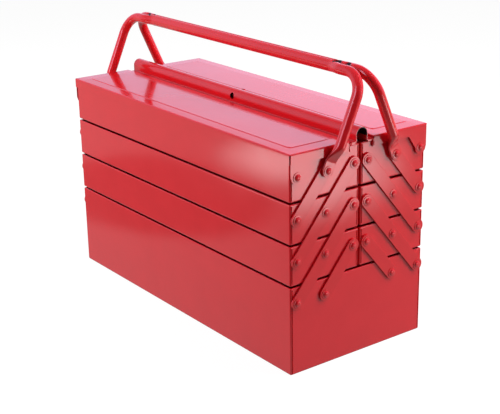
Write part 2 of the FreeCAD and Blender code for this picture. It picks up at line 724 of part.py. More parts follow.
# Rivets and washers: one pattern piece for each stack of layers, then a copy at every pivot
def rivet(name, head_place):
    """A rivet along X from its tail inside the wall to its domed head."""
    body = new_body(name)
    profile = sketch_on(body, name + "_profile", "XY_Plane")
    tail = "(-Sizes.wall_sheet - Sizes.tail_rise)"
    head = f"({head_place} - Places.wall_end)"
    top = f"({head} + Sizes.head_rise)"
    bulge = "(Sizes.head_radius * Sizes.head_radius / Sizes.head_rise - Sizes.head_rise) / 2"
    corners = [
        (tail, "0"), (top, "0"), (head, "Sizes.head_radius"), (head, "Sizes.pin_radius"),
        ("-Sizes.wall_sheet", "Sizes.pin_radius"), ("-Sizes.wall_sheet", "Sizes.tail_radius"),
        (tail, "Sizes.pin_radius"),
    ]
    outline(profile, corners, {1: (f"{head} - {bulge}", "0", 1)})
    turned = body.newObject("PartDesign::Revolution", name + "_turned")
    turned.Profile = profile
    turned.ReferenceAxis = (profile, ["H_Axis"])
    turned.Angle = 360
    document.recompute()
    return body


def washer(name, head_place):
    """The washer under a rivet's head."""
    body = new_body(name)
    face = f"{head_place} - Places.wall_end - Sizes.washer_sheet"
    flat = sketch_on(body, name + "_flat", "YZ_Plane", face)
    ring(flat, "0", "0", "Sizes.washer_radius")
    ring(flat, "0", "0", "Sizes.pin_radius")
    pad(body, name + "_sheet", flat, "Sizes.washer_sheet")
    return body


STACKS = {"arm": "Places.arm_head", "lid": "Places.lid_head", "handle": "Places.handle_head"}
PATTERNS = {
    "rivets": {stack: rivet(f"{stack}_rivet", head) for stack, head in STACKS.items()},
    "washers": {stack: washer(f"{stack}_washer", head) for stack, head in STACKS.items()},
}


def fasteners(label, kind, spots):
    """The rivets or the washers of one pan, at both ends."""
    copies = []
    for y, z, stack in spots:
        for end, end_name in END_NAMES.items():
            copy = document.addObject("App::Link", f"{label}_{len(copies) + 1}")
            copy.LinkedObject = PATTERNS[kind][stack]
            angle = 0 if end == RIGHT else 180
            place(copy, signed(end, "Places.wall_end"), y, z,
                  f"rotation(vector(0; 0; 1); {angle})")
            copies.append(copy)
    group = document.addObject("Part::Compound", label)
    group.Label = label
    group.Links = copies
    document.recompute()
    return group


TOP_STACKS = ["arm", "handle", "lid"]
for kind in PATTERNS:
    spots = [(spot, level_height(0), "arm") for spot in BASE_ROW]
    nodes.append(fasteners(f"base_{kind}", kind, spots))
    for side, side_name in SIDE_NAMES.items():
        for level, level_name in list(enumerate(LEVELS))[1:]:
            stacks = TOP_STACKS if level_name == "top" else ["arm"] * len(PIVOT_ROW)
            spots = [(signed(side, spot), level_height(level), stack)
                     for spot, stack in zip(PIVOT_ROW, stacks)]
            nodes.append(fasteners(f"{side_name}_{level_name}_tray_{kind}", kind, spots))

# Every object has to be sound before a file is written
document.recompute()
faults = [item.Label for item in document.Objects
          if "Invalid" in item.State or "Error" in item.State]
faults += [node.Label for node in nodes if node.Shape.isNull() or not node.Shape.isValid()]
if faults:
    raise SystemExit("faulty: " + ", ".join(faults))
os.makedirs("parts", exist_ok=True)
for node in nodes:
    node.Shape.exportStep(f"parts/{node.Label}.step")
    solids = len(node.Shape.Solids)
    print(f"{node.Label}: {solids} solid(s), {node.Shape.Volume / 1000:.2f} cm3")
print(len(nodes), "nodes")
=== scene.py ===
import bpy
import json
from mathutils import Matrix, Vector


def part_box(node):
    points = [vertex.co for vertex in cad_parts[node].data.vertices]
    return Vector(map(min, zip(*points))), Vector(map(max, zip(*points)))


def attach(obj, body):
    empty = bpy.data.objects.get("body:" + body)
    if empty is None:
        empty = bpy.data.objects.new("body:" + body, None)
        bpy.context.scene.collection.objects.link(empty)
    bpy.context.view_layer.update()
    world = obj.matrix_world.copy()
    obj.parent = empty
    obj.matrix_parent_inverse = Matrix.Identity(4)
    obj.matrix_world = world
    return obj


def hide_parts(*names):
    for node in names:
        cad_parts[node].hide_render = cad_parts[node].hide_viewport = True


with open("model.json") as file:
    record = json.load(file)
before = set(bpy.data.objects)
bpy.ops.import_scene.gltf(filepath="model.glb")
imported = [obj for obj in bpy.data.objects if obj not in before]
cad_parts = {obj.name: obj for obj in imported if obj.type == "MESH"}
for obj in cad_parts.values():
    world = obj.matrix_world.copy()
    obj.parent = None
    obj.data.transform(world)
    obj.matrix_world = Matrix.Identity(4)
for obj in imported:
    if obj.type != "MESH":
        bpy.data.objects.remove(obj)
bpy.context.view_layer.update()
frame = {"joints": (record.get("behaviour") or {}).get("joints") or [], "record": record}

import json
import math
import bmesh
import bpy
from mathutils import Matrix, Vector

# The base box: a deep open pan folded from sheet steel, with its corners spot welded and its rim
# rolled over into a hem. It is dipped in gloss red enamel and stoved.
MM = 0.001
SHEET = 1.0 * MM
FOLD_RADIUS = 1.6 * MM
HEM_DEPTH = 6.0 * MM
PAN_CORNER = 1.6 * MM
INNER_CORNER = 0.4 * MM
SEAM_DEPTH = 0.9 * MM
SEAM_EDGES = [0.1 * MM, 0.2 * MM, 1.4 * MM, 1.5 * MM]
# Where a seam's groove starts over the fold and stops under the rim, first at no depth, then full
SEAM_FOOT = (0.5 * MM, 0.7 * MM)
SEAM_TOP = (1.8 * MM, 2.0 * MM)
GLOSS_COAT = 0.6
# Points of a mesh that are nearer than this are one point
SEWN = 0.001 * MM
ENAMEL_RED = "#D61722"
ENAMEL_DEEP_RED = "#CA131D"


def linear(colour):
    """A hex sRGB colour as linear red, green, blue and full alpha."""
    channels = [int(colour[i:i + 2], 16) / 255 for i in (1, 3, 5)]
    return [c / 12.92 if c <= 0.04045 else ((c + 0.055) / 1.055) ** 2.4 for c in channels] + [1.0]


def add(tree, kind, inputs=(), **settings):
    """A node with its settings. Its inputs come by name or in order: a node or a socket is linked,
    and anything else is a value."""
    made = tree.nodes.new(kind)
    for name, value in settings.items():
        setattr(made, name, value)
    for key, value in inputs.items() if isinstance(inputs, dict) else enumerate(inputs):
        if isinstance(value, bpy.types.Node):
            value = value.outputs[0]
        if isinstance(value, bpy.types.NodeSocket):
            tree.links.new(value, made.inputs[key])
        else:
            made.inputs[key].default_value = value
    return made


def stoving_enamel(name, colour, deep_colour, roughness, waviness):
    """Baked gloss paint on steel sheet: a wet looking skin with faint orange peel, over metal that
    is never quite flat, so that reflections bend a little."""
    material = bpy.data.materials.new(name)
    material.use_nodes = True
    tree = material.node_tree
    tree.nodes.clear()
    place = add(tree, "ShaderNodeTexCoord").outputs["Object"]
    # Oil canning of the sheet, in waves about 110 mm long
    sheet_waves = add(tree, "ShaderNodeTexNoise",
                      {"Vector": place, "Scale": 1 / 0.11, "Detail": 1.0, "Roughness": 0.4})
    # Orange peel is about 1 mm wide, and is drawn at 2.5 mm so that it shows
    peel = add(tree, "ShaderNodeTexNoise",
               {"Vector": place, "Scale": 1 / 0.0025, "Detail": 1.0, "Roughness": 0.3})
    # Thin and thick places of the paint, in clouds of about 35 mm
    cloud = add(tree, "ShaderNodeTexNoise",
                {"Vector": place, "Scale": 1 / 0.035, "Detail": 3.0, "Roughness": 0.55})
    tone = add(tree, "ShaderNodeMix", {"Factor": cloud, 6: linear(deep_colour),
                                       7: linear(colour)}, data_type="RGBA")
    sheen = add(tree, "ShaderNodeMapRange", {
        "Value": cloud, "From Min": 0.3, "From Max": 0.7, "To Min": roughness * 0.85,
        "To Max": roughness * 1.15})
    waves = add(tree, "ShaderNodeBump", {"Height": sheet_waves, "Strength": 1.0,
                                         "Distance": waviness})
    skin = add(tree, "ShaderNodeBump", {"Height": peel, "Strength": 0.25, "Distance": 0.00004,
                                        "Normal": waves})
    paint = add(tree, "ShaderNodeBsdfPrincipled", {
        "Base Color": tone.outputs[2], "Metallic": 0.0, "IOR": 1.5, "Roughness": sheen,
        "Normal": skin, "Coat Weight": GLOSS_COAT, "Coat Roughness": 0.05, "Coat IOR": 1.5,
        "Coat Normal": skin})
    add(tree, "ShaderNodeOutputMaterial", {"Surface": paint})
    return material


def loft(shape, rings, closed=False):
    """Skin a row of closed rings with faces; the ends are capped unless the row closes."""
    rows = [[shape.verts.new(point) for point in ring] for ring in rings]
    count = len(rows[0])
    pairs = list(zip(rows, rows[1:] + rows[:1])) if closed else list(zip(rows, rows[1:]))
    for low, high in pairs:
        for i in range(count):
            j = (i + 1) % count
            shape.faces.new((low[i], low[j], high[j], high[i]))
    if not closed:
        shape.faces.new(rows[0][::-1])
        shape.faces.new(rows[-1])


def solid_object(name, shape, merge=10 * SEWN):
    """A new object from a finished shape, its doubles merged and its faces turned outwards."""
    bmesh.ops.remove_doubles(shape, verts=shape.verts, dist=merge)
    bmesh.ops.recalc_face_normals(shape, faces=shape.faces)
    mesh = bpy.data.meshes.new(name)
    shape.to_mesh(mesh)
    shape.free()
    made = bpy.data.objects.new(name, mesh)
    bpy.context.scene.collection.objects.link(made)
    return made


def finished(made, *modifiers):
    """Apply modifiers, given as a kind and its settings, and leave a plain mesh."""
    for kind, settings in modifiers:
        modifier = made.modifiers.new(kind, kind)
        for key, value in settings.items():
            setattr(modifier, key, value)
    view = bpy.context.evaluated_depsgraph_get()
    mesh = bpy.data.meshes.new_from_object(made.evaluated_get(view))
    made.modifiers.clear()
    made.data = mesh
    return made


def smooth(made, angle=32.0):
    """Shade a mesh smooth, with its edges over an angle kept sharp."""
    made.data.shade_smooth()
    made.data.set_sharp_from_angle(angle=math.radians(angle))
    return finished(made, ("WEIGHTED_NORMAL", {"keep_sharp": True, "weight": 60}))


def painted(made, material, body, slot, *nodes):
    """Give a piece its paint and body, and let it stand for its CAD nodes. Its slot is not used.
    """
    made.data.materials.clear()
    made.data.materials.append(material)
    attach(made, body)
    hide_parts(*nodes)


def pan_ring(low, high, inset, z, radius, seam):
    """A ring round a pan at one height, with the groove of a lapped seam near each end's edges."""
    x_far, y_low, y_high = high.x - inset, low.y + inset, high.y - inset
    steps = 5
    points = []
    for corner, (side_x, y, side_y) in enumerate(
            [(1, y_high, 1), (-1, y_high, 1), (-1, y_low, -1), (1, y_low, -1)]):
        for i in range(steps + 1):
            angle = math.radians(90 * corner + 90 * i / steps)
            points.append((side_x * (x_far - radius) + radius * math.cos(angle),
                           y - side_y * radius + radius * math.sin(angle), z))
        if corner in (1, 3):
            start, run = (y_high - radius, -1) if corner == 1 else (y_low + radius, 1)
            length = y_high - y_low - 2 * radius
            spots = [(edge, depth) for edge, depth in zip(SEAM_EDGES, (0, seam, seam, 0))]
            spots += [(length - edge, depth) for edge, depth in reversed(spots)]
            points += [(side_x * (x_far - depth), start + run * edge, z) for edge, depth in spots]
    return points


def folded_pan(name, node):
    """A pan the size of its CAD node: rounded folds, lapped corner seams and a rolled hem."""
    low, high = (Vector(corner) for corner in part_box(node))
    shape = bmesh.new()
    rings = []
    folds = 5
    for i in range(folds + 1):
        angle = math.radians(90 * i / folds)
        inset, rise = FOLD_RADIUS * (1 - math.sin(angle)), FOLD_RADIUS * (1 - math.cos(angle))
        rings.append(pan_ring(low, high, inset, low.z + rise, PAN_CORNER, 0))
    fold_top = low.z + FOLD_RADIUS
    for z, depth in ((fold_top + SEAM_FOOT[0], 0), (fold_top + SEAM_FOOT[1], SEAM_DEPTH),
                     (high.z - SEAM_TOP[1], SEAM_DEPTH), (high.z - SEAM_TOP[0], 0)):
        rings.append(pan_ring(low, high, 0, z, PAN_CORNER, depth))
    rolls = 8
    for i in range(rolls + 1):
        angle = math.radians(180 * i / rolls)
        inset = SHEET * (1 - math.cos(angle))
        rings.append(pan_ring(low, high, inset, high.z - SHEET * (1 - math.sin(angle)),
                              max(PAN_CORNER - inset, INNER_CORNER), 0))
    hem_end = high.z - HEM_DEPTH
    for inset, z in ((2 * SHEET, hem_end + 0.4 * SHEET), (1.8 * SHEET, hem_end),
                     (SHEET, hem_end)):
        rings.append(pan_ring(low, high, inset, z, INNER_CORNER, 0))
    inner = FOLD_RADIUS - SHEET
    for i in range(folds + 1):
        angle = math.radians(90 * i / folds)
        inset, rise = SHEET + inner * (1 - math.cos(angle)), inner * (1 - math.sin(angle))
        rings.append(pan_ring(low, high, inset, low.z + SHEET + rise, INNER_CORNER, 0))
    loft(shape, rings)
    return smooth(solid_object(name, shape, merge=SEWN))


box_paint = stoving_enamel("stoved_gloss_red_enamel_on_sheet", ENAMEL_RED, ENAMEL_DEEP_RED, 0.16,
                           0.0006)
painted(folded_pan("base_pan", "base_box"), box_paint, "base", "box_enamel", "base_box")

# The six trays: the same folded pans of enamelled sheet, three to each side. They hang on the
# arms and ride outwards with them.
for side in ("front", "back"):
    for level in ("lower", "middle", "top"):
        tray = f"{side}_{level}_tray"
        painted(folded_pan(f"{tray}_pan", tray), box_paint, tray, "box_enamel", tray)


# The arms: flat steel bars with round ends, blanked in a press, which leaves their edges a little
# soft. Both ends of the box have the same four on each side, all in one plane.
ARM_EDGE = 0.45 * MM
ARM_WIDTH = 16.0 * MM
ARM_NAMES = ["top", "upper", "lower", "bottom"]
MATH, VECTOR = "ShaderNodeMath", "ShaderNodeVectorMath"


def tree_with(name, sizes, vectors=()):
    """A geometry tree with named inputs for its sizes, vectors and paint, and what comes in."""
    tree = bpy.data.node_groups.new(name, "GeometryNodeTree")
    kinds = {"Geometry": "NodeSocketGeometry", "Paint": "NodeSocketMaterial"}
    kinds.update({label: "NodeSocketFloat" for label in sizes})
    kinds.update({label: "NodeSocketVector" for label in vectors})
    for label, kind in kinds.items():
        tree.interface.new_socket(label, in_out="INPUT", socket_type=kind)
    tree.interface.new_socket("Geometry", in_out="OUTPUT", socket_type="NodeSocketGeometry")
    return tree, add(tree, "NodeGroupInput").outputs


def wound_grid(tree, around, rows):
    """A grid to be wound into a turned shape, with the angle and the row of each point."""
    grid = add(tree, "GeometryNodeMeshGrid", {"Size X": 1.0, "Size Y": 1.0,
                                              "Vertices X": around + 1, "Vertices Y": rows})
    place = add(tree, "ShaderNodeSeparateXYZ", [add(tree, "GeometryNodeInputPosition")]).outputs
    turn = add(tree, MATH, [place["X"], 2 * math.pi, math.pi], operation="MULTIPLY_ADD")
    row = add(tree, MATH, [place["Y"], rows - 1.0, (rows - 1.0) / 2], operation="MULTIPLY_ADD")
    return grid, turn, row


def real_copies(tree, shape, points, scale=(1.0, 1.0, 1.0)):
    """Copies of a wound shape at the points, with its seam and ends closed, made real."""
    closed = add(tree, "GeometryNodeMergeByDistance", {"Geometry": shape, "Distance": SEWN})
    copies = add(tree, "GeometryNodeInstanceOnPoints", {"Points": points, "Instance": closed,
                                                        "Scale": scale})
    return add(tree, "GeometryNodeRealizeInstances", {"Geometry": copies})


def run_tree(name, points, tree, values, attributes=()):
    """A plain mesh that the tree makes from a few points, each with its own attributes."""
    mesh = bpy.data.meshes.new(name)
    mesh.from_pydata(points, [], [])
    for label, rows in attributes:
        mesh.attributes.new(label, "FLOAT", "POINT").data.foreach_set("value", rows)
    made = bpy.data.objects.new(name, mesh)
    bpy.context.scene.collection.objects.link(made)
    modifier = made.modifiers.new(name, "NODES")
    modifier.node_group = tree
    for item in tree.interface.items_tree:
        if item.in_out == "INPUT" and item.name in values:
            modifier[item.identifier] = values[item.name]
    return finished(made)


def outward(made):
    """Turn a closed mesh's faces outwards."""
    shape = bmesh.new()
    shape.from_mesh(made.data)
    bmesh.ops.remove_doubles(shape, verts=shape.verts, dist=SEWN)
    bmesh.ops.recalc_face_normals(shape, faces=shape.faces)
    shape.to_mesh(made.data)
    shape.free()
    return made


def arm_tree():
    """Round-ended bars: a polar grid whose two halves are pulled apart along the bar."""
    tree, group = tree_with("press_blanked_bar", ["Width", "Thickness", "Edge"], ["Run"])
    around, rows = 64, 12
    grid, turn, row = wound_grid(tree, around, rows)
    # Rows 0 and 11 are the middles of both faces, 1 to 5 and 6 to 10 go round the two edges
    far = add(tree, MATH, [row, (rows - 1.0) / 2], operation="GREATER_THAN")
    mirrored = add(tree, MATH, [rows - 1.0, row], operation="SUBTRACT")
    near_row = add(tree, MATH, [row, mirrored], operation="MINIMUM")
    at_rim = add(tree, MATH, [near_row, 0.5], operation="GREATER_THAN")
    past_face = add(tree, MATH, [near_row, 1.0], operation="SUBTRACT")
    edge_row = add(tree, MATH, [past_face, 0.0], operation="MAXIMUM")
    bow = add(tree, MATH, [edge_row, math.pi / 8], operation="MULTIPLY")
    bow_sine, bow_cosine = (add(tree, MATH, [bow], operation=kind) for kind in ("SINE", "COSINE"))
    half_width = add(tree, MATH, [group["Width"], 0.5], operation="MULTIPLY")
    flat_radius = add(tree, MATH, [half_width, group["Edge"]], operation="SUBTRACT")
    bowed = add(tree, MATH, [bow_sine, group["Edge"], flat_radius], operation="MULTIPLY_ADD")
    radius = add(tree, MATH, [bowed, at_rim], operation="MULTIPLY")
    lowered = add(tree, MATH, [1.0, bow_cosine], operation="SUBTRACT")
    drop = add(tree, MATH, [lowered, group["Edge"]], operation="MULTIPLY")
    half_sheet = add(tree, MATH, [group["Thickness"], 0.5], operation="MULTIPLY")
    height = add(tree, MATH, [half_sheet, drop], operation="SUBTRACT")
    face = add(tree, MATH, [far, 2.0, -1.0], operation="MULTIPLY_ADD")
    level = add(tree, MATH, [face, height], operation="MULTIPLY")
    cosine, sine = (add(tree, MATH, [turn], operation=kind) for kind in ("COSINE", "SINE"))
    # Each half of the grid goes to its own end of the bar
    nudged = add(tree, MATH, [cosine, 0.0001], operation="ADD")
    end = add(tree, MATH, [nudged], operation="SIGN")
    half_way = add(tree, MATH, [end, 0.5], operation="MULTIPLY")
    length = add(tree, VECTOR, [group["Run"]], operation="LENGTH").outputs[1]
    direction = add(tree, VECTOR, [group["Run"]], operation="NORMALIZE")
    across = add(tree, VECTOR, [direction, (1.0, 0.0, 0.0)], operation="CROSS_PRODUCT")
    past_end = add(tree, MATH, [cosine, radius], operation="MULTIPLY")
    reach = add(tree, MATH, [half_way, length, past_end], operation="MULTIPLY_ADD")
    spread = add(tree, MATH, [sine, radius], operation="MULTIPLY")
    spot = add(tree, "ShaderNodeCombineXYZ", {"X": level})
    for way, amount in ((direction, reach), (across, spread)):
        part = add(tree, VECTOR, {0: way, "Scale": amount}, operation="SCALE")
        spot = add(tree, VECTOR, [spot, part], operation="ADD")
    bar = add(tree, "GeometryNodeSetPosition", {"Geometry": grid, "Position": spot})
    bars = real_copies(tree, bar, group["Geometry"])
    paint = add(tree, "GeometryNodeSetMaterial", {"Geometry": bars, "Material": group["Paint"]})
    add(tree, "NodeGroupOutput", {"Geometry": paint})
    return tree


bar_tree = arm_tree()
arm_paint = stoving_enamel("stoved_gloss_red_enamel_on_bar", "#D2161F", "#C4111A", 0.16, 0.0001)
for side, lean in (("front", 1), ("back", -1)):
    for name in ARM_NAMES:
        arms = [f"{side}_{name}_arm_{end}" for end in ("right", "left")]
        boxes = [[Vector(corner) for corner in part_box(arm)] for arm in arms]
        size = boxes[0][1] - boxes[0][0]
        bars = run_tree(f"{side}_{name}_flat_bars", [(low + high) / 2 for low, high in boxes],
                        bar_tree, {"Width": ARM_WIDTH, "Thickness": size.x, "Edge": ARM_EDGE,
                                   "Run": (0.0, lean * (size.y - ARM_WIDTH), size.z - ARM_WIDTH),
                                   "Paint": arm_paint})
        painted(smooth(outward(bars), 40.0), arm_paint, f"{side}_{name}_arms", "arm_enamel",
                *arms)


# Rivets and washers: each pivot is a steel rivet with a domed head over a plain washer outside,
# and a button tail set inside the pan's wall. They are painted with the box.
RIVET_SIZES = {"Head Radius": 4.0 * MM, "Head Rise": 1.5 * MM, "Washer Radius": 5.75 * MM,
               "Washer Sheet": 0.5 * MM, "Tail Radius": 3.8 * MM, "Tail Rise": 1.2 * MM,
               "Pin Radius": 1.9 * MM, "Wall Sheet": SHEET}
# How far each stack of layers holds the washer off the pan's wall
SEATS = {"arm": 2.4 * MM, "lid": 2.6 * MM, "handle": 5.6 * MM}


def rivet_tree():
    """Rivets turned about their own axes: a polar grid whose rows take their radius and height
    from a profile. The head's rows move out by each pivot's own stack height."""
    tree, group = tree_with("set_rivet_with_washer", RIVET_SIZES)
    # The profile, from the tail's middle to the head's: which size gives each row its radius, the
    # share of it, the same for its height, and whether it stands under the wall or on the washer
    profile = [("Tail Radius", share, "Tail Rise", rise, -1.0)
               for share, rise in ((0.0, -1.0), (0.55, -0.92), (0.9, -0.55), (1.0, 0.0))]
    profile += [("Pin Radius", 1.0, "Tail Rise", 0.0, -1.0),
                ("Pin Radius", 1.0, "Head Rise", 0.0, 0.0),
                ("Washer Radius", 1.0, "Head Rise", 0.0, 0.0),
                ("Washer Radius", 1.0, "Washer Sheet", 0.8, 0.0),
                ("Washer Radius", 0.97, "Washer Sheet", 1.0, 0.0),
                ("Head Radius", 1.0, "Washer Sheet", 1.0, 0.0)]
    first_head_row = 4.5
    domes = 6
    profile += [("Head Radius", math.cos(math.radians(90 * i / domes)), "Head Rise",
                 math.sin(math.radians(90 * i / domes)), 1.0) for i in range(1, domes + 1)]
    around = 40
    grid, turn, row = wound_grid(tree, around, len(profile))
    row_number = add(tree, "FunctionNodeFloatToInt", [row], rounding_mode="ROUND")
    switches = [add(tree, "GeometryNodeIndexSwitch", {"Index": row_number}, data_type="FLOAT")
                for _ in range(2)]
    for i, (radius_size, share, height_size, rise, base) in enumerate(profile):
        wall = add(tree, MATH, [group["Wall Sheet"], min(base, 0.0)], operation="MULTIPLY")
        washer = add(tree, MATH, [group["Washer Sheet"], max(base, 0.0), wall],
                     operation="MULTIPLY_ADD")
        values = [add(tree, MATH, [group[radius_size], share], operation="MULTIPLY"),
                  add(tree, MATH, [group[height_size], rise, washer], operation="MULTIPLY_ADD")]
        for switch, value in zip(switches, values):
            if len(switch.index_switch_items) <= i:
                switch.index_switch_items.new()
            tree.links.new(value.outputs[0], switch.inputs[i + 1])
    radius, height = switches
    ring = [add(tree, MATH, [add(tree, MATH, [turn], operation=kind), radius],
                operation="MULTIPLY") for kind in ("COSINE", "SINE")]
    turned = add(tree, "GeometryNodeSetPosition", {
        "Geometry": grid, "Position": add(tree, "ShaderNodeCombineXYZ", [height, *ring])})
    headed = add(tree, MATH, [row, first_head_row], operation="GREATER_THAN")
    marked = add(tree, "GeometryNodeStoreNamedAttribute", {
        "Geometry": turned, "Name": "headed", "Value": headed}, data_type="FLOAT", domain="POINT")
    facing, seat, mark = (
        add(tree, "GeometryNodeInputNamedAttribute", {"Name": label},
            data_type="FLOAT").outputs["Attribute"] for label in ("outward", "seat", "headed"))
    scale = add(tree, "ShaderNodeCombineXYZ", {"X": facing, "Y": 1.0, "Z": 1.0})
    real = real_copies(tree, marked, group["Geometry"], scale)
    lift = add(tree, MATH, [mark, seat], operation="MULTIPLY")
    shift = add(tree, MATH, [lift, facing], operation="MULTIPLY")
    raised = add(tree, "GeometryNodeSetPosition", {
        "Geometry": real, "Offset": add(tree, "ShaderNodeCombineXYZ", {"X": shift})})
    paint = add(tree, "GeometryNodeSetMaterial", {"Geometry": raised, "Material": group["Paint"]})
    add(tree, "NodeGroupOutput", {"Geometry": paint})
    return tree


rivets = rivet_tree()
rivet_paint = stoving_enamel("stoved_gloss_red_enamel_on_rivets", "#D2161F", "#C4111A", 0.12,
                             0.00001)
joint_places = {joint["name"]: Vector(joint["pos_m"]) for joint in frame["joints"]}
wall_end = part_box("base_box")[1][0]
# Each pan's rivets as (y, z, stack), the same at both of its ends
rivet_sets = {}
for side in ("front", "back"):
    outer, middle, inner = (joint_places[f"{side}_{joint}"] for joint in (
        "trays_open", "bottom_arm_pivot", "middle_tray_pivot"))
    pitch = joint_places[f"{side}_lower_tray_pivot"].z - outer.z
    for rise, level, stacks in ((1, "lower", ("arm", "arm", "arm")),
                                (2, "middle", ("arm", "arm", "arm")),
                                (3, "top", ("lid", "handle", "arm"))):
        rivet_sets[f"{side}_{level}_tray"] = [
            (spot.y, outer.z + rise * pitch, stack)
            for spot, stack in zip((outer, middle, inner), stacks)]
rivet_sets["base"] = [(*joint_places[f"{side}_{joint}"].yz, "arm") for side in ("front", "back")
                      for joint in ("trays_open", "bottom_arm_pivot")]
for body, spots in rivet_sets.items():
    rows = [(float(end), *spot) for end in (1, -1) for spot in spots]
    made = run_tree(f"{body}_set_rivets", [(end * wall_end, y, z) for end, y, z, _ in rows],
                    rivets, {"Paint": rivet_paint, **RIVET_SIZES},
                    [("outward", [end for end, _, _, _ in rows]),
                     ("seat", [SEATS[stack] for _, _, _, stack in rows])])
    painted(smooth(outward(made), 40.0), rivet_paint, body, "rivet_enamel",
            f"{body}_rivets", f"{body}_washers")


# The lids: each is one sheet with a raised panel pressed into its top, a flange turned down on
# three sides with round ears at its pivots, and a step down to a ledge beside the ridge.
LID_FOLD = 1.5 * MM
PANEL_RISE = 0.5 * MM
PANEL_SIDE = 14.0 * MM
PANEL_END = 18.0 * MM
PANEL_CORNER = 5.0 * MM
PANEL_SLOPE = 1.1 * MM
BORDER_FALL = 0.5 * MM
STEP_PLACE = 17.5 * MM
STEP_DROP = 3.8 * MM
STEP_FOLD = 1.0 * MM
FRONT_LEDGE_EDGE = 7.25 * MM
FLANGE = 12.0 * MM
EAR_RADIUS = 8.0 * MM
EAR_ROOT = 28.5 * MM
LIP_ROWS = (14.5 * MM, 12.0 * MM, 9.2 * MM)
LIP_DROP = 2.0 * MM
DIMPLE_RADIUS = 1.9 * MM
DIMPLE_INSET = 0.35 * PANEL_CORNER
# Points of the lid's skin that are nearer than this become one
LID_SEWN = 0.02 * MM


def ease(share):
    """A smooth rise from 0 to 1."""
    share = min(max(share, 0.0), 1.0)
    return share * share * (3 - 2 * share)


